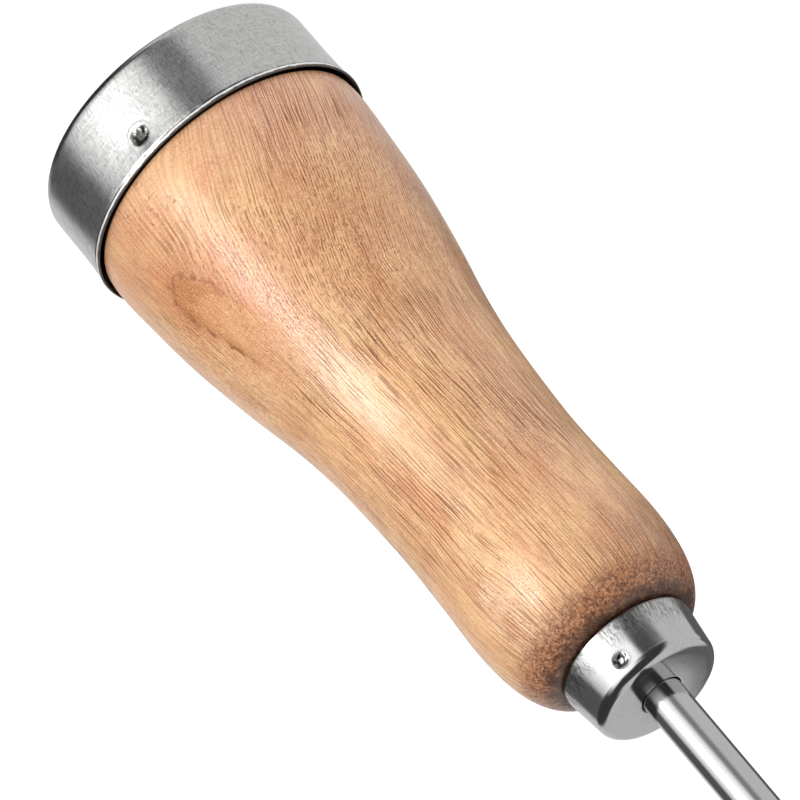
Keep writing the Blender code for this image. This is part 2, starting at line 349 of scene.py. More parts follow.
class Wood(Shader):
    """Turned hardwood cut through its growth layers, under a thin satin varnish.

    It first finds where each kind of mark lies, then lays their colours over one another.
    """

    def __init__(self):
        super().__init__("varnished_wood")
        self.x, self.y, self.z = self.split(self.mm)
        self.turn = self.math("ARCTAN2", self.x, self.product(self.y, -1.0))
        self.radius = self.hypotenuse(self.x, self.y)
        self.waver = self.spread(self.noise(self.scaled(self.mm, (1, 1, 0.5)), 0.30, 3.0), 2.4)
        self.find_tongue()
        self.find_layers()
        self.find_lanes()
        self.find_fibres()
        self.find_pores()

    def unrolled(self, angle, height, radius, lean, waver):
        """Distances from a place on the surface: across the grain and along it."""
        across = self.product(self.math("SUBTRACT", self.turn, math.radians(angle)), radius)
        along = self.math("SUBTRACT", self.z, height)
        return self.total(across, self.product(along, lean), waver), along

    def ellipse(self, across, along, width, length):
        """Distance from the middle of an ellipse, 1 on its line."""
        return self.hypotenuse(self.math("DIVIDE", across, width), self.math("DIVIDE", along, length))

    def find_tongue(self):
        """The tongue: an arch, closed towards the cap and open towards the blade."""
        waver = self.spread(self.noise(self.mm, 0.55, 3.0), 1.5)
        across, along = self.unrolled(TONGUE_ANGLE, TONGUE_HEIGHT, TONGUE_RADIUS, TONGUE_LEAN, waver)
        tongue = self.ellipse(across, self.math("MINIMUM", along, 0.0), TONGUE_HALF_WIDTH, TONGUE_TOP)
        fade = self.ramp(along, 3.0, 13.0, 1.0, 0.0)
        self.tongue_across, self.tongue_along = across, along
        self.inside = self.product(self.ramp(tongue, 0.80, 1.05, 1.0, 0.0), fade)
        self.around = self.product(self.ramp(tongue, 0.9, 2.4, 1.0, 0.0), fade)
        ends = self.ramp(across, -2.0, 2.0, 4.0, -4.0)
        length = self.ramp(self.total(along, ends), 2.0, 8.0, 1.0, 0.0)
        broken = self.ramp(self.noise(self.mm, 0.9, 3.0), 0.42, 0.56, 0.20, 1.0)
        self.edge = self.product(self.tent(tongue, 1.0, 0.17), length, broken)
        dark_side = self.product(self.ramp(tongue, 0.45, 0.95), self.ramp(across, 0.0, 1.6))
        self.crescent = self.product(dark_side, self.inside)
        fainter = self.math("MAXIMUM", self.product(self.inside, 0.6), self.product(self.around, 0.45))
        self.smooth = self.rest(fainter)

    def find_layers(self):
        """Broad growth layers, in arcs about the pith, cut by the turned surface."""
        face = math.radians(LAYER_ANGLE)
        out = self.total(self.product(self.x, math.sin(face)), self.product(self.y, -math.cos(face)))
        out = self.total(out, PITH_DISTANCE)
        side = self.total(self.product(self.x, math.cos(face)), self.product(self.y, math.sin(face)))
        from_middle = self.math("SUBTRACT", self.z, BOW_MIDDLE)
        bow = self.product(from_middle, from_middle, BOW)
        drift = self.spread(self.noise(self.scaled(self.mm, (1, 1, 0.6)), 0.07, 2.0), 5.0)
        layer = self.total(self.hypotenuse(out, side), bow, drift, self.product(self.around, 1.6))
        place = self.scaled(self.join(layer, side, self.z), (0.9, 0.12, 0.02))
        self.bands = self.noise(place, 1.0, 2.0, 0.6)

    def find_lanes(self):
        """The fibres' run: along the handle, leaning in the taper, and round the tongue and the eye."""
        lean_side = self.math("SINE", self.math("SUBTRACT", math.radians(LEAN_ANGLE), self.turn))
        below = self.math("MINIMUM", self.math("SUBTRACT", self.z, LEAN_TOP), 0.0)
        above = self.math("MAXIMUM", self.math("SUBTRACT", self.z, UPPER_LEAN_START), 0.0)
        lean = self.product(below, LEAN, self.ramp(lean_side, -0.5, 0.5))
        lean = self.total(lean, self.product(above, UPPER_LEAN))
        eye = self.ellipse(*self.unrolled(EYE_ANGLE, EYE_HEIGHT, EYE_RADIUS, 0.0, self.waver), *EYE_SIZE)
        past_eye = self.ramp(eye, 0.0, 1.0, -EYE_SHIFT, 0.0)
        past_tongue = self.product(self.around, self.ramp(self.tongue_across, -2.6, 2.6, 0.6, -0.6))
        place = self.scaled(self.mm, (1, 1, 0.6))
        wander = self.spread(self.noise(place, 0.12, 2.0), 1.1)
        sway = self.spread(self.noise(place, 0.55, 2.0), 0.20)
        shift = self.total(past_tongue, lean, past_eye, wander, sway)
        self.lane_turn = self.math("SUBTRACT", self.turn, self.math("DIVIDE", shift, LANE_RADIUS))
        lane_x = self.product(self.math("SINE", self.lane_turn), LANE_RADIUS)
        lane_y = self.product(self.math("COSINE", self.lane_turn), LANE_RADIUS)
        self.lane = self.join(lane_x, lane_y, self.z)

    def lane_noise(self, stretch, detail=1.0, roughness=0.5):
        """Noise that follows the fibres, with this many features to a millimetre in x, y and z."""
        return self.noise(self.scaled(self.lane, stretch), 1.0, detail, roughness)

    def lines(self, count, stretch, wobble, offset):
        """A wave round the handle, count lines in all, shifted by a stretched noise."""
        place = self.scaled(self.vector("ADD", self.lane, offset), stretch)
        phase = self.product(self.noise(place, 1.0, 1.0, 0.5), wobble)
        return self.math("SINE", self.total(self.product(self.lane_turn, count), phase))

    def blend(self, first, second, share):
        return self.total(self.product(first, self.rest(share)), self.product(second, share))

    def fibre_weight(self):
        """Fibres are fainter in the tongue, by the cap beside the highlight, and on the shoulder."""
        strength = self.noise(self.scaled(self.mm, (1, 1, 0.4)), 0.11, 2.0)
        by_cap = self.product(self.ramp(self.z, 15.0, 26.0, 1.0, 0.0), self.ramp(self.turn, -0.4, 0.1))
        weight = self.product(self.ramp(strength, 0.32, 0.62, 0.55, 1.0), self.smooth)
        weight = self.product(weight, self.rest(self.product(by_cap, 0.72)))
        weight = self.product(weight, self.ramp(self.z, 66.0, 72.0, 1.0, 0.75))
        return self.product(weight, self.ramp(self.z, 12.0, 26.0, 0.65, 1.0))

    def find_fibres(self):
        """Long threads, soft streaks, and short dashes that are strongest in the mottled part.

        The same count of lines lies wider apart where the handle is thick, so closer ones take over.
        """
        height = self.total(self.z, self.spread(self.noise(self.mm, 0.12, 2.0), 16.0))
        mottled = self.product(self.ramp(height, 19.0, 25.0), self.ramp(height, 38.0, 45.0, 1.0, 0.0))
        weight = self.fibre_weight()
        thick = self.ramp(self.radius, 12.0, 13.4)
        coarse = self.lines(190, (1.5, 1.5, 0.08), 12.0, (0, 0, 0))
        close = self.lines(262, (1.9, 1.9, 0.10), 13.0, (9, 4, 30))
        closer = self.lines(372, (2.4, 2.4, 0.16), 14.0, (5, 17, 8))
        self.wide = self.blend(coarse, close, thick)
        thin = self.ramp(self.blend(close, closer, thick), 0.50, 0.95, 0.0, 0.85)
        threads = self.math("MAXIMUM", self.ramp(self.wide, 0.35, 0.90), thin)
        come_and_go = self.ramp(self.lane_noise((2.6, 2.6, 0.26)), 0.34, 0.56, 0.30, 1.0)
        threads = self.product(threads, come_and_go, self.ramp(mottled, 0.0, 1.0, 1.0, 0.35))
        self.threads = self.product(threads, weight)
        dashes = self.ramp(self.lines(280, (2.0, 2.0, 0.45), 9.0, (3, 8, 60)), 0.1, 0.9)
        broken = self.ramp(self.lane_noise((2.6, 2.6, 1.4)), 0.42, 0.56, 0.1, 1.0)
        dashes = self.product(dashes, broken, self.ramp(mottled, 0.0, 1.0, 0.15, 1.0))
        self.dashes = self.product(dashes, weight)
        streaks = self.ramp(self.lane_noise((6.0, 6.0, 0.26)), 0.57, 0.66)
        streaks = self.product(streaks, self.ramp(mottled, 0.0, 1.0, 1.0, 0.5))
        self.streaks = self.product(streaks, weight)

    def find_pores(self):
        """Small dark pores, in patches."""
        place = self.scaled(self.vector("ADD", self.mm, (31.0, 7.0, 55.0)), (1, 1, 0.4))
        self.patches = self.noise(place, 0.15, 3.0, 0.55)
        pores = self.ramp(self.lane_noise((6.5, 6.5, 2.6), 1.0, 0.4), 0.63, 0.69)
        self.pores = self.product(pores, self.ramp(self.patches, 0.46, 0.60, 0.0, 0.65))

    def ground_colour(self):
        """Tan with slow clouds, under the growth layers and the broad flames."""
        slow = self.noise(self.scaled(self.mm, (1, 1, 0.35)), 0.12, 3.0, 0.55)
        colour = self.mix(self.ramp(slow, 0.36, 0.64), (0.68, 0.378, 0.206), (0.77, 0.466, 0.240))
        pink = self.product(self.ramp(self.patches, 0.50, 0.70), 0.6)
        colour = self.mix(pink, colour, (0.72, 0.395, 0.255))
        for angle, height, width, length, lean, tint, amount in CLOUDS:
            place = self.unrolled(angle, height, LANE_RADIUS, lean, self.waver)
            distance = self.ellipse(*place, width, length)
            colour = self.mix(self.ramp(distance, 0.4, 1.5, amount, 0.0), colour, tint)
        colour = self.mix(self.ramp(self.bands, 0.35, 0.68, 0.0, 0.15), colour, (0.58, 0.270, 0.120))
        flame = self.lane_noise((0.24, 0.24, 0.12), 2.0)
        colour = self.mix(self.ramp(flame, 0.50, 0.66, 0.0, 0.42), colour, (0.62, 0.280, 0.125))
        colour = self.mix(self.ramp(flame, 0.50, 0.36, 0.0, 0.40), colour, (0.82, 0.520, 0.250))
        blush = self.lane_noise((0.7, 0.7, 0.35), 2.0, 0.6)
        return self.mix(self.ramp(blush, 0.50, 0.64, 0.0, 0.30), colour, (0.58, 0.240, 0.095))

    def with_tongue(self, colour):
        """Reddish round and inside the tongue, darkest in a crescent and in smears."""
        colour = self.mix(self.product(self.around, 0.45), colour, (0.50, 0.205, 0.085))
        middle = self.mix(self.ramp(self.tongue_along, -5.0, 4.0), (0.46, 0.175, 0.062), (0.66, 0.330, 0.145))
        colour = self.mix(self.product(self.inside, 0.75), colour, middle)
        colour = self.mix(self.product(self.crescent, 0.80), colour, (0.44, 0.150, 0.045))
        smear = self.ramp(self.lane_noise((0.8, 0.8, 0.4), 3.0), 0.46, 0.60, 0.0, 0.70)
        smear = self.product(smear, self.inside, self.ramp(self.tongue_along, 8.0, -2.0, 0.3, 1.0))
        return self.mix(smear, colour, (0.40, 0.132, 0.030))

    def with_fibres(self, colour):
        """Fine grit, then light between the threads, then the dark marks."""
        grit = self.noise(self.mm, 4.6, 2.0, 0.6)
        colour = self.mix(self.ramp(grit, 0.50, 0.60, 0.0, 0.30), colour, (0.44, 0.180, 0.070))
        colour = self.mix(self.ramp(grit, 0.50, 0.40, 0.0, 0.26), colour, (0.92, 0.620, 0.380))
        between = self.product(self.ramp(self.wide, -0.1, -0.9, 0.0, 0.20), self.smooth)
        colour = self.mix(between, colour, (0.95, 0.620, 0.340))
        colour = self.mix(self.product(self.dashes, 0.90), colour, (0.25, 0.085, 0.020))
        colour = self.mix(self.threads, colour, (0.17, 0.050, 0.008))
        colour = self.mix(self.product(self.streaks, 0.60), colour, (0.17, 0.053, 0.012))
        colour = self.mix(self.product(self.edge, 0.90), colour, (0.22, 0.075, 0.025))
        return self.mix(self.pores, colour, (0.12, 0.042, 0.018))

    def with_end_grain(self, colour):
        """End grain on the shoulder takes up more varnish; its darkness is partly that and partly painted
        shade, and by the ferrule painted shade takes it almost to black.
        """
        blotch = self.spread(self.noise(self.mm, 0.8, 3.0, 0.6), 3.0)
        height = self.total(self.z, blotch)
        end_grain = self.ramp(height, 83.0, 86.6)
        speck = self.ramp(self.noise(self.mm, 2.3, 3.0, 0.65), 0.42, 0.58)
        glint = self.noise(self.vector("ADD", self.mm, (9.0, 4.0, 2.0)), 2.9, 2.0, 0.7)
        glint = self.ramp(glint, 0.54, 0.66)
        # Darker end grain: partly a real dark finish, partly painted shade on the shoulder
        colour = self.mix(self.product(end_grain, 0.78), colour, (0.32, 0.110, 0.048))
        colour = self.mix(self.product(end_grain, speck, 0.75), colour, (0.085, 0.036, 0.020))
        colour = self.mix(self.product(end_grain, glint, 0.60), colour, (0.66, 0.370, 0.200))
        # Painted shade: almost black next to the ferrule
        return self.mix(self.ramp(height, 86.5, 88.4, 0.0, 0.90), colour, (0.040, 0.018, 0.012))

    def finished(self):
        colour = self.with_end_grain(self.with_fibres(self.with_tongue(self.ground_colour())))
        # Painted shade: the wood inside the cap's mouth is coloured near black
        shade_under_cap = self.product(self.ramp(self.z, 11.95, 11.8), self.ramp(self.radius, 17.3, 17.2))
        colour = self.mix(shade_under_cap, colour, (0.03, 0.015, 0.01))
        relief = self.product(self.total(self.dashes, self.threads), -0.5)
        relief = self.math("SUBTRACT", relief, self.pores)
        orange_peel = self.product(self.noise(self.mm, 4.2, 2.0, 0.6), 2.0)
        fleck = self.ramp(self.noise(self.mm, 5.0, 2.0, 0.6), 0.42, 0.56, 1.0, 0.25)
        return self.set(base_color=colour, roughness=self.ramp(self.threads, 0.0, 1.0, 0.42, 0.55),
                        normal=self.bump(relief, 0.00003, 0.35), specular_ior_level=0.3,
                        coat_weight=fleck, coat_roughness=0.24, coat_ior=1.5,
                        coat_normal=self.bump(self.total(relief, orange_peel), 0.00001, 0.8))


# ---------------------------------------------------------------- steel

def steel_lines(s, along_axis, scale):
    """Fine parallel lines, along the axis or round it."""
    stretch = (1, 1, 0.02) if along_axis else (0.05, 0.05, 1)
    return s.noise(s.scaled(s.mm, stretch), scale, 3.0, 0.7)


def cross_scratches(s, warp_scale, warp, scale, roughness):
    """Scratches across the turning lines, along the axis but not quite straight."""
    bend = s.scaled(s.noise(s.mm, warp_scale, 2.0, colour=True), (warp, warp, 0.0))
    place = s.scaled(s.vector("ADD", s.mm, bend), (1, 1, 0.10))
    return s.noise(place, scale, 2.0, roughness)


def cap_steel():
    """Satin steel, finely brushed round the cap, with scratches across.

    The cut lip has a painted highlight below and painted shade on its rounded top, with painted shade in the
    groove under it and inside the cap.
    """
    s = Shader("cap_steel")
    x, y, z = s.split(s.mm)
    radius = s.hypotenuse(x, y)
    top, rim = CAP_HIGH.z * 1000, CAP_HIGH.x * 1000
    lines = steel_lines(s, False, 8.0)
    across = cross_scratches(s, 0.4, 1.6, 6.0, 0.6)
    mottle = s.noise(s.scaled(s.mm, (1, 1, 0.7)), 6.0, 2.0, 0.65)
    patch = s.noise(s.mm, 0.22, 3.0, 0.6)
    colour = s.mix(s.ramp(lines, 0.35, 0.65), (0.62, 0.62, 0.62), (0.76, 0.76, 0.75))
    colour = s.mix(s.ramp(across, 0.50, 0.64, 0.0, 0.45), colour, (0.32, 0.32, 0.325))
    colour = s.mix(s.ramp(mottle, 0.50, 0.62, 0.0, 0.18), colour, (0.26, 0.26, 0.275))

    # The lip with its painted highlight and shade, painted shade in its groove, and painted shade inside the
    # cap
    edge = s.total(z, s.spread(s.noise(s.mm, 1.1, 3.0), 0.30))
    lip = s.ramp(edge, top - 0.50, top - 0.44)
    # Painted shade: a near-black line in the groove under the lip
    groove_shade = s.tent(edge, top - 0.58, s.ramp(s.noise(s.mm, 0.8, 1.0), 0.3, 0.7, 0.05, 0.17))
    colour = s.mix(s.product(groove_shade, 0.92), colour, (0.02, 0.02, 0.02))
    # Painted highlight on the lip's lower part and painted shade on its rounded top
    lip_highlight_and_shade = s.mix(s.ramp(edge, top - 0.32, top - 0.16), (0.93, 0.93, 0.93), (0.12, 0.105, 0.095))
    colour = s.mix(lip, colour, lip_highlight_and_shade)
    # Painted shade: inside the cap and behind the lip the steel is coloured near black
    shaded_inside = s.product(s.ramp(radius, 17.45, 17.35), s.ramp(z, 0.96, 1.0))
    shaded_behind_lip = s.product(s.ramp(radius, rim - 0.22, rim - 0.27), s.ramp(z, 11.2, 11.4))
    shaded_inside = s.math("MAXIMUM", shaded_inside, shaded_behind_lip)
    colour = s.mix(shaded_inside, colour, (0.02, 0.016, 0.014))

    # Grime in and round the stakes; painted shade in a smudge above them and on each pit's rim
    stake = s.total(stake_distance(s, CAP_STAKE), s.spread(s.noise(s.mm, 1.0, 2.0), 0.9))
    above = (CAP_STAKE[0] + 1.5 * MM, CAP_STAKE[1], CAP_STAKE[2])
    # Painted shade: a soft dark smudge in the dent above each stake
    dent_shade = s.ramp(stake_distance(s, above), 1.5, 0.2, 0.0, 0.6)
    colour = s.mix(s.product(dent_shade, s.rest(lip)), colour, (0.10, 0.10, 0.095))
    broken = s.ramp(s.noise(s.mm, 1.5, 3.0, 0.6), 0.50, 0.62, 1.0, 0.1)
    colour = s.mix(s.product(s.ramp(stake, 1.30, 0.9), broken), colour, (0.075, 0.072, 0.055))
    # Painted shade on each pit's rim
    ring = s.product(s.ramp(stake, 0.95, 1.1), s.ramp(stake, 1.35, 1.2, 0.0, 0.6))
    colour = s.mix(ring, colour, (0.05, 0.05, 0.04))

    rough = s.total(s.ramp(patch, 0.3, 0.7, 0.15, 0.21), s.product(lines, 0.08))
    rough = s.total(rough, s.product(s.math("MAXIMUM", lip, shaded_inside), 0.25))
    metal = s.rest(s.math("MAXIMUM", s.product(lip, 0.45), shaded_inside))
    height = s.total(s.product(lines, 0.7), across, s.product(mottle, 0.28))
    return s.set(base_color=colour, metallic=metal, roughness=rough, normal=s.bump(height, 0.00001, 0.45))


def ferrule_steel():
    """Polished steel, scratched lengthwise, with painted shade where it meets the wood."""
    s = Shader("ferrule_steel")
    z = s.split(s.mm)[2]
    back = FERRULE_LOW.z * 1000
    lines = steel_lines(s, False, 6.0)
    scratch = cross_scratches(s, 0.6, 0.7, 5.0, 0.7)
    patch = s.noise(s.mm, 0.5, 3.0, 0.6)
    worn = s.ramp(s.total(z, s.spread(patch, 3.0)), back + 3.8, back + 0.8)
    colour = s.mix(s.ramp(scratch, 0.50, 0.64, 0.0, 0.18), (0.64, 0.64, 0.645), (0.30, 0.30, 0.305))
    colour = s.mix(s.product(s.ramp(scratch, 0.46, 0.58), worn, 0.75), colour, (0.16, 0.155, 0.15))
    stake = s.total(stake_distance(s, FERRULE_STAKE), s.spread(patch, 0.5))
    # Painted shade: a dark ring in each stake's pit
    ring = s.product(s.ramp(stake, 0.25, 0.45), s.ramp(stake, 1.35, 0.80))
    ring = s.product(ring, s.ramp(s.noise(s.mm, 2.4, 3.0, 0.7), 0.32, 0.56, 0.6, 0.95))
    colour = s.mix(ring, colour, (0.09, 0.09, 0.092))
    # Painted shade: a near-black band at the back edge, where the ferrule meets the wood
    contact_shade = s.ramp(s.total(z, s.product(scratch, 0.5)), back + 0.75, back + 0.25)
    colour = s.mix(s.product(contact_shade, 0.9), colour, (0.05, 0.042, 0.036))
    rough = s.total(s.ramp(patch, 0.3, 0.7, 0.09, 0.15), s.product(worn, 0.10))
    height = s.total(s.product(lines, 0.6), scratch)
    return s.set(base_color=colour, metallic=1.0, roughness=rough, normal=s.bump(height, 0.000006, 0.35))


def tool_steel():
    """Bright drawn bar with fine lengthwise lines."""
    s = Shader("tool_steel")
    lines = steel_lines(s, True, 8.0)
    patch = s.noise(s.mm, 0.4, 2.0)
    rough = s.total(s.ramp(patch, 0.3, 0.7, 0.07, 0.12), s.product(lines, 0.05))
    return s.set(base_color=(0.62, 0.62, 0.62, 1), metallic=1.0, roughness=rough,
                 normal=s.bump(lines, 0.000005, 0.25))


# ---------------------------------------------------------------- pieces

def cad_rings(node):
    """Heights and outer radii of a turned CAD node's rings of points."""
    points = np.array([v.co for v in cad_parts[node].data.vertices])
    radius = np.hypot(points[:, 0], points[:, 1])
    rings = {}
    for height, value in zip(np.round(points[:, 2], 6), radius):
        rings.setdefault(height, []).append(value)
    return [(max(values), height) for height, values in sorted(rings.items()) if len(values) >= 40]


def stake_distance(s, spec):
    """Distance on the wall from the nearest of the two stakes, in millimetres."""
    x, y, z = s.split(s.mm)
    height, surface, first = spec[0] * 1000, spec[1] * 1000, spec[2]
    turn = s.math("ARCTAN2", x, s.product(y, -1.0))
    offset = s.math("WRAP", s.math("SUBTRACT", turn, first), math.pi / 2, -math.pi / 2)
    offset = s.product(offset, surface)
    up = s.math("SUBTRACT", z, height)
    return s.hypotenuse(offset, up)


def stakes(spec, dent, dent_depth, pit, pit_depth):
    """Relief of a pair of punched stakes: a wide shallow dent round a steep pit with a rough floor."""
    stake_height, surface, first = spec

    def relief(radius, height, turn):
        moved = np.zeros_like(radius)
        for side in (0, 1):
            offset = (turn - first - math.pi * side + math.pi) % math.tau - math.pi
            flat = np.hypot(offset * surface, height - stake_height)
            across, along = offset * surface / pit, (height - stake_height) / pit
            uneven = pit * (1 + 0.10 * np.clip(across, -1, 1) + 0.06 * np.sin(5 * along))
            depth = dent_depth * (1 - smoothstep(0, dent, flat))
            depth = depth + pit_depth * (1 - smoothstep(uneven * 0.25, uneven, flat))
            lumps = np.sin(4.2 * across + 0.9) * np.cos(3.6 * along)
            lumps = lumps + 0.7 * np.sin(6.1 * across - 4.7 * along + 2.0)
            depth = depth + 0.20 * pit_depth * lumps * (1 - smoothstep(pit * 0.5, pit, flat))
            rim = 0.1 * pit_depth * np.exp(-((flat - pit * 1.12) / (pit * 0.14)) ** 2)
            moved += np.where(radius > surface - SHEET / 2, rim - depth, 0.0)
        return moved

    return relief


def make_cap():
    length, lip = CAP_HIGH.z, CAP_HIGH.x
    body, corner, flare, lip_low = lip - 0.38 * MM, 1.65 * MM, 7.0 * MM, length - 0.6 * MM
    inside = body - SHEET
    inner_corner = 0.8 * MM
    outline = [(0, 0)]
    outline += list(arc((body - 0.04 * MM - corner, corner), corner, -90, 0, 18))
    outline += list(bezier((body, corner + 2.6 * MM), (body, flare + 2.1 * MM),
                           (lip - 0.16 * MM, lip_low - 1.0 * MM), (lip - 0.10 * MM, lip_low - 0.10 * MM), 16))
    outline += [(lip - 0.17 * MM, lip_low - 0.02 * MM), (lip - 0.16 * MM, lip_low + 0.04 * MM),
                (lip - 0.04 * MM, lip_low + 0.10 * MM)]
    outline += list(bezier((lip, lip_low + 0.16 * MM), (lip, length - 0.12 * MM),
                           (lip - 0.08 * MM, length), (lip - 0.20 * MM, length), 10))
    outline += list(bezier((lip - 0.25 * MM, length - 0.05 * MM), (lip - 0.45 * MM, lip_low),
                           (inside, flare + 3.1 * MM), (inside, flare + 1.0 * MM), 12))
    outline += list(arc((inside - inner_corner, 1.0 * MM + inner_corner), inner_corner, 0, -90, 6))
    outline += [(0, 1.0 * MM)]
    height, surface, first = CAP_STAKE
    fine, reach = 0.06 * MM, 1.9 * MM
    outline = refine(outline, 0.6 * MM, fine, height, reach)
    spots = (first, first + math.pi)
    angles = angles_round(math.radians(1.2), fine / surface, spots, reach / surface)
    punched = stakes(CAP_STAKE, 3.2 * MM, 0.10 * MM, 1.28 * MM, 0.30 * MM)

    def relief(radius, height_, turn):
        burr = 0.035 * MM * (np.sin(37 * turn) * np.sin(23 * turn + 1) + 0.6 * np.sin(71 * turn + 2))
        at_lip = np.exp(-((height_ - lip_low) / (0.12 * MM)) ** 2) * (radius > lip - 0.3 * MM)
        return punched(radius, height_, turn) + burr * at_lip

    cap = turned("butt_cap_fine", outline, angles, relief)
    finish_piece(cap, "butt_cap", cap_steel())


def make_ferrule():
    low, high, back = FERRULE_LOW.z, FERRULE_HIGH.z, FERRULE_HIGH.x
    front = back - 0.6 * MM
    corner = 1.5 * MM
    hole = SHANK_RADIUS + 0.13 * MM
    wall = 0.9 * MM
    crown = 0.10 * MM
    inside = front - SHEET
    outline = [(hole, high - wall)]
    outline += list(arc((inside - 0.7 * MM, high - wall - 0.7 * MM), 0.7 * MM, 90, 0, 6))
    outline += [(back - SHEET, low)]
    outline += list(arc((back - 0.15 * MM, low + 0.15 * MM), 0.15 * MM, -90, 0, 5))
    outline += list(arc((front - corner, high - crown - corner), corner, 3, 87, 22))
    outline += list(bezier((front - corner - 0.3 * MM, high - crown * 0.75),
                           (front - corner - 1.5 * MM, high - crown * 0.2),
                           (hole + 1.5 * MM, high), (hole + 0.2 * MM, high), 10))
    outline += list(arc((hole + 0.1 * MM, high - 0.1 * MM), 0.1 * MM, 90, 180, 4))
    height, surface, first = FERRULE_STAKE
    fine = 0.05 * MM
    outline = refine(outline, 0.35 * MM, fine, height, 1.3 * MM)
    spots = (first, first + math.pi)
    angles = angles_round(math.radians(1.5), fine / surface, spots, 1.4 * MM / surface)
    punched = stakes(FERRULE_STAKE, 1.9 * MM, 0.10 * MM, 1.00 * MM, 0.20 * MM)
    ferrule = turned("ferrule_fine", outline, angles, punched)
    finish_piece(ferrule, "ferrule", ferrule_steel())


def make_blade():
    rings = cad_rings("blade")
    shank_top = max(height for radius, height in rings if abs(radius - SHANK_RADIUS) < 1e-5)
    taper = [ring for ring in rings if ring[1] >= shank_top]
    bottom = BLADE_LOW.z
    chamfer = 0.5 * MM
    outline = [(0, bottom), (SHANK_RADIUS - chamfer, bottom), (SHANK_RADIUS, bottom + chamfer)]
    outline += list(refine([(SHANK_RADIUS, bottom + 1 * MM), (SHANK_RADIUS, shank_top - 0.5 * MM)], 1.0 * MM))
    outline += list(smooth_line(taper, 0.4 * MM))
    tip = BLADE_HIGH.z
    last = outline[-1]
    outline += list(arc((0, tip - last[0]), last[0], 20, 80, 4))
    outline += [(0, tip)]
    blade = turned("blade_fine", outline, angles_round(math.radians(3)), sharp=50)
    finish_piece(blade, "blade", tool_steel())


def make_handle():
    rings = [ring for ring in cad_rings("handle") if ring[1] <= FERRULE_LOW.z and ring[0] > SHANK_RADIUS * 3]
    spigot = [ring for ring in rings if ring[1] < 7.5 * MM]
    curve = [ring for ring in rings if ring[1] > CAP_HIGH.z + 0.5 * MM]
    edge = max(ring[0] for ring in spigot)
    bore = SHANK_RADIUS + 0.3 * MM
    nose = FERRULE_HIGH.x - 0.6 * MM - SHEET - 0.3 * MM
    chamfer = 0.8 * MM
    top = HANDLE_HIGH.z
    start = CAP_HIGH.z + 0.08 * MM
    outline = [(bore, HANDLE_LOW.z)] + spigot
    outline += [(edge, start - 1.1 * MM), (edge + 0.2 * MM, start - 0.75 * MM)]
    outline += list(bezier((edge + 0.42 * MM, start - 0.42 * MM), (edge + 0.6 * MM, start - 0.2 * MM),
                           (edge + 0.69 * MM, start - 0.1 * MM), (edge + 0.72 * MM, start + 0.1 * MM), 6))
    outline += list(smooth_line(curve, 0.3 * MM))
    outline += [(nose, curve[-1][1]), (nose, top - chamfer), (nose - chamfer, top), (bore, top)]
    outline = refine(outline, 1.0 * MM)

    def relief(radius, height, turn):
        """Slight hand sanded unevenness of the outside."""
        wave = (np.sin(3 * turn + 160 * height) + np.sin(5 * turn - 95 * height + 1.3)
                + 0.7 * np.sin(2 * turn + 420 * height + 0.5) + 0.5 * np.sin(9 * turn + 310 * height))
        outside = (radius > SHANK_RADIUS * 2) & (height > CAP_HIGH.z)
        return np.where(outside, 0.018 * MM * wave, 0.0)

    handle = turned("handle_fine", outline, angles_round(math.radians(1)), relief)
    finish_piece(handle, "handle", Wood().finished())


# ---------------------------------------------------------------- studio

STUDIO_MIDDLE = 0.05  # height of the middle of the dome, which the lamp is aimed at


def window(value, low, high, soft):
    """1 between low and high, falling softly to 0 over the last soft degrees on both sides."""
    return smoothstep(low - soft, low + soft, value) * (1 - smoothstep(high - soft, high + soft, value))


def studio_light(azimuth, elevation):
    """Brightness of the panels round the awl, by direction in degrees; later panels cover earlier ones."""
    light = np.full_like(azimuth, 0.70)
    behind = np.abs((azimuth + 360) % 360 - 180)

    def panel(amount, brightness):
        nonlocal light
        light = light + (brightness - light) * amount

    # Pale behind the awl, and dark on its +X side
    panel(smoothstep(136, 152, azimuth) + smoothstep(-170, -176, azimuth), 0.72)
    panel(window(azimuth, 77, 132, 6) * window(elevation, -90, 46, 8), 0.12)
    # The dark upper front, and two grey strips below it on the -X side
    panel(window(azimuth, -58, 132, 6) * smoothstep(-11.5, -6.5, elevation), 0.05)
    panel(window(azimuth, -38, -7, 6) * window(elevation, -75, -22, 3), 0.21)
    panel(window(azimuth, -44, -16, 6) * window(elevation, -22, 0, 3), 0.25)
    # The key panel in front, brighter in its upper part, and a dark strip beside it
    key = smoothstep(-10, 8, azimuth) * window(elevation, -75, -21, 3)
    key = key + smoothstep(-19, -7, azimuth) * window(elevation, -21, -3, 3)
    key = key * (1 - smoothstep(42, 80, azimuth))
    panel(key, 0.95)
    panel(key * smoothstep(-44, -32, elevation), 1.35)
    panel(window(azimuth, -58, -18, 6) * window(elevation, -13, 0, 3), 0.09)
    # Pale overhead, away from the front
    panel(smoothstep(60, 72, elevation) * smoothstep(60, 100, np.abs(azimuth)), 0.75)
    # The wood's highlight: a soft panel with a bright core
    panel(window(azimuth, -4, 56, 16) * window(elevation, -20, 26, 8), 1.45)
    panel(window(azimuth, 22, 44, 8) * window(elevation, -22, -1, 7), 15.0)
    # Dark below; behind, a pale band with a dark end
    panel(smoothstep(-56, -66, elevation) * smoothstep(-60, -20, azimuth), 0.03)
    below_back = (1 - smoothstep(85, 100, behind)) * (1 - window(azimuth, -165, -60, 8))
    panel(below_back * smoothstep(-40, -50, elevation), 0.03)
    panel((1 - smoothstep(40, 50, behind)) * window(elevation, 8, 50, 10), 0.64)
    right_back = smoothstep(-180, -177, azimuth) * (1 - smoothstep(-148, -138, azimuth))
    panel(right_back * window(elevation, 8, 50, 8), 0.15)
    return light


def stage_for_reflections(obj):
    """Add a piece of the studio that only reflections see."""
    bpy.context.scene.collection.objects.link(obj)
    for ray in ("camera", "diffuse", "shadow", "transmission", "volume_scatter"):
        setattr(obj, "visible_" + ray, False)


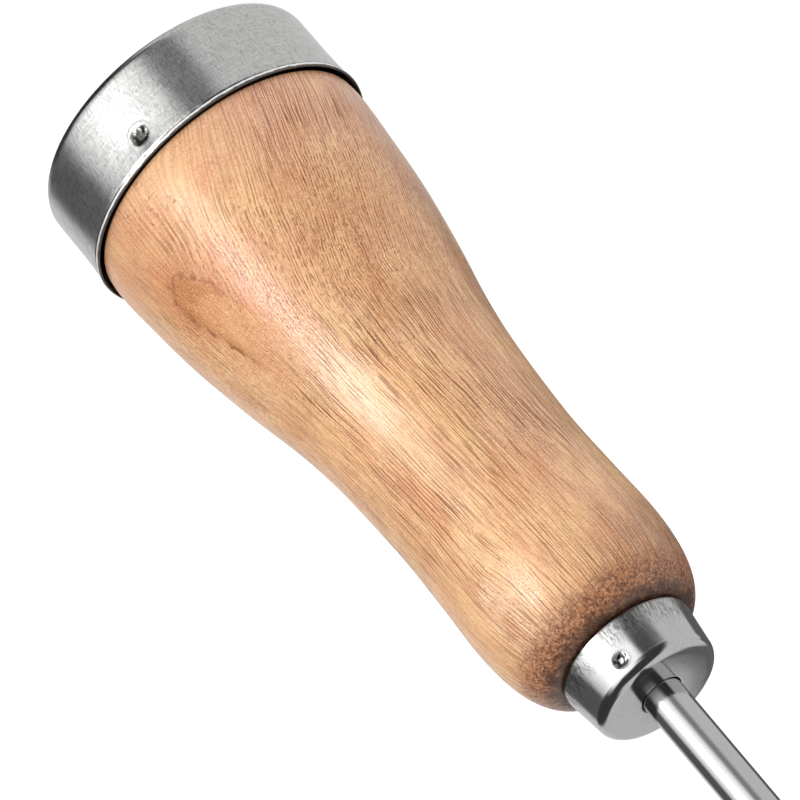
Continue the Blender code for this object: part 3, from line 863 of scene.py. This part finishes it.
def make_dome():
    """A dome of light and dark panels."""
    azimuth = np.radians(np.arange(-180, 180, 2.0))
    elevation = np.radians(np.arange(-88, 89, 2.0))
    radius = 0.7
    turn, rise = np.meshgrid(azimuth, elevation)
    points = np.stack([np.cos(rise) * np.sin(turn), -np.cos(rise) * np.cos(turn), np.sin(rise)], -1)
    rows, columns = turn.shape
    row, column = np.arange(rows - 1)[:, None], np.arange(columns)[None]
    beside = (column + 1) % columns
    quads = np.stack([row * columns + column, row * columns + beside,
                      (row + 1) * columns + beside, (row + 1) * columns + column], -1).reshape(-1, 4)
    mesh = bpy.data.meshes.new("panel_dome")
    mesh.from_pydata((points.reshape(-1, 3) * radius).tolist(), [], quads.tolist())
    bm = bmesh.new()
    bm.from_mesh(mesh)
    bm.verts.ensure_lookup_table()
    for end in (0, rows - 1):
        bm.faces.new([bm.verts[end * columns + i] for i in range(columns)])
    bm.to_mesh(mesh)
    bm.free()
    light = studio_light(np.degrees(turn), np.degrees(rise)).reshape(-1)
    colours = mesh.color_attributes.new("panels", "FLOAT_COLOR", "POINT")
    values = np.stack([light, light * 0.995, light * 0.985, np.ones_like(light)], -1)
    colours.data.foreach_set("color", values.astype(np.float32).ravel())
    material = bpy.data.materials.new("panel_light")
    material.use_nodes = True
    tree = material.node_tree
    tree.nodes.clear()
    panels = tree.nodes.new("ShaderNodeVertexColor")
    panels.layer_name = "panels"
    emission = tree.nodes.new("ShaderNodeEmission")
    output = tree.nodes.new("ShaderNodeOutputMaterial")
    tree.links.new(panels.outputs["Color"], emission.inputs["Color"])
    tree.links.new(emission.outputs[0], output.inputs["Surface"])
    material.cycles.emission_sampling = "NONE"
    mesh.materials.append(material)
    dome = bpy.data.objects.new("panel_dome", mesh)
    dome.location.z = STUDIO_MIDDLE
    stage_for_reflections(dome)


def make_flag():
    """A dark card close behind, on the -X side: its reflection edges the blade, ferrule and wood."""
    distance = 150 * MM
    bottom, top = -30 * MM, 115 * MM
    turns = np.radians(np.linspace(-172, -124, 25))
    verts = []
    for turn in turns:
        for height in (bottom, top):
            verts.append((distance * math.sin(turn), -distance * math.cos(turn), height))
    faces = [(2 * i, 2 * i + 2, 2 * i + 3, 2 * i + 1) for i in range(len(turns) - 1)]
    mesh = bpy.data.meshes.new("dark_flag")
    mesh.from_pydata(verts, [], faces)
    material = bpy.data.materials.new("dark_card")
    material.use_nodes = True
    shader = material.node_tree.nodes["Principled BSDF"]
    shader.inputs["Base Color"].default_value = (0.02, 0.02, 0.02, 1)
    shader.inputs["Roughness"].default_value = 1.0
    shader.inputs["Emission Color"].default_value = (1, 1, 1, 1)
    shader.inputs["Emission Strength"].default_value = 0.10
    mesh.materials.append(material)
    flag = bpy.data.objects.new("dark_flag", mesh)
    stage_for_reflections(flag)


def make_floor():
    """A plain pale floor, evenly lit."""
    half = 20.0
    corners = [(-half, -half, 0), (half, -half, 0), (half, half, 0), (-half, half, 0)]
    mesh = bpy.data.meshes.new("floor")
    mesh.from_pydata(corners, [], [(0, 1, 2, 3)])
    material = bpy.data.materials.new("pale_floor")
    material.use_nodes = True
    shader = material.node_tree.nodes["Principled BSDF"]
    shader.inputs["Base Color"].default_value = (0.5, 0.5, 0.5, 1)
    shader.inputs["Roughness"].default_value = 1.0
    shader.inputs["Specular IOR Level"].default_value = 0.0
    shader.inputs["Emission Color"].default_value = (1, 1, 1, 1)
    shader.inputs["Emission Strength"].default_value = 0.75
    mesh.materials.append(material)
    floor = bpy.data.objects.new("floor", mesh)
    bpy.context.scene.collection.objects.link(floor)
    floor.visible_glossy = False


def make_lamp(name, azimuth, elevation, distance, size, power):
    """A soft lamp aimed at the middle of the handle, which reflections don't see."""
    turn, rise = math.radians(azimuth), math.radians(elevation)
    away = Vector((math.cos(rise) * math.sin(turn), -math.cos(rise) * math.cos(turn), math.sin(rise)))
    data = bpy.data.lights.new(name, "AREA")
    data.shape = "DISK"
    data.size = size
    data.energy = power
    lamp = bpy.data.objects.new(name, data)
    bpy.context.scene.collection.objects.link(lamp)
    place = Vector((0, 0, STUDIO_MIDDLE)) + away * distance
    facing = away.to_track_quat("Z", "Y").to_matrix().to_4x4()
    lamp.matrix_world = Matrix.Translation(place) @ facing
    lamp.visible_glossy = False
    lamp.visible_camera = False


def make_world():
    world = bpy.data.worlds.new("studio")
    world.use_nodes = True
    world.node_tree.nodes["Background"].inputs["Color"].default_value = (1, 1, 1, 1)
    world.node_tree.nodes["Background"].inputs["Strength"].default_value = 0.85
    bpy.context.scene.world = world


def make_camera():
    data = bpy.data.cameras.new("camera")
    data.lens = CAMERA_LENS
    data.clip_start, data.clip_end = 0.1, 50.0
    camera = bpy.data.objects.new("camera", data)
    bpy.context.scene.collection.objects.link(camera)
    turn = Matrix.Rotation(math.pi / 2 - CAMERA_ELEVATION, 4, "X") @ Matrix.Rotation(CAMERA_ROLL, 4, "Z")
    right, up, back = (turn.to_3x3() @ Vector(axis) for axis in ((1, 0, 0), (0, 1, 0), (0, 0, 1)))
    face = Vector((0, 0, FERRULE_HIGH.z))
    aim = face + right * CAMERA_AIM[0] + up * CAMERA_AIM[1]
    camera.matrix_world = Matrix.Translation(aim + back * CAMERA_DISTANCE) @ turn
    bpy.context.scene.camera = camera


make_cap()
make_ferrule()
make_blade()
make_handle()
make_dome()
make_flag()
make_floor()
make_lamp("key_lamp", 30, 16, 0.9, 0.35, 3.0)
make_world()
make_camera()
bpy.context.scene.view_settings.view_transform = "Standard"
